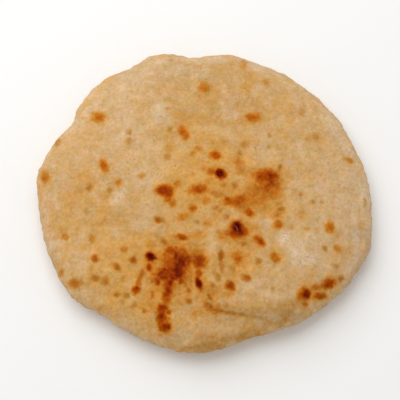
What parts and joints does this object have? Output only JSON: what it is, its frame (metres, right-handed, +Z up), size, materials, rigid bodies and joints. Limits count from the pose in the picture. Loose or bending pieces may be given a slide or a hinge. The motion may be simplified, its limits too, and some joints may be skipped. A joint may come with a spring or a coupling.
{
  "type": "baladi bread",
  "caption": "Round puffed wholemeal flatbread with a toasted blistered crust, an uneven rounded rim and a flat base to rest on.",
  "frame": {"origin": "on the surface the loaf lies on, under the middle of its box", "axes": "+Z up, +X to the right and -Y to the front, where the crown folds down to the rim"},
  "size_m": [0.2, 0.1898, 0.0259],
  "materials": {
    "crust": "matte wholemeal crust with toasted spots and fine bran"
  },
  "bodies": {
    "root": {"bread": "crust"}
  },
  "joints": []
}
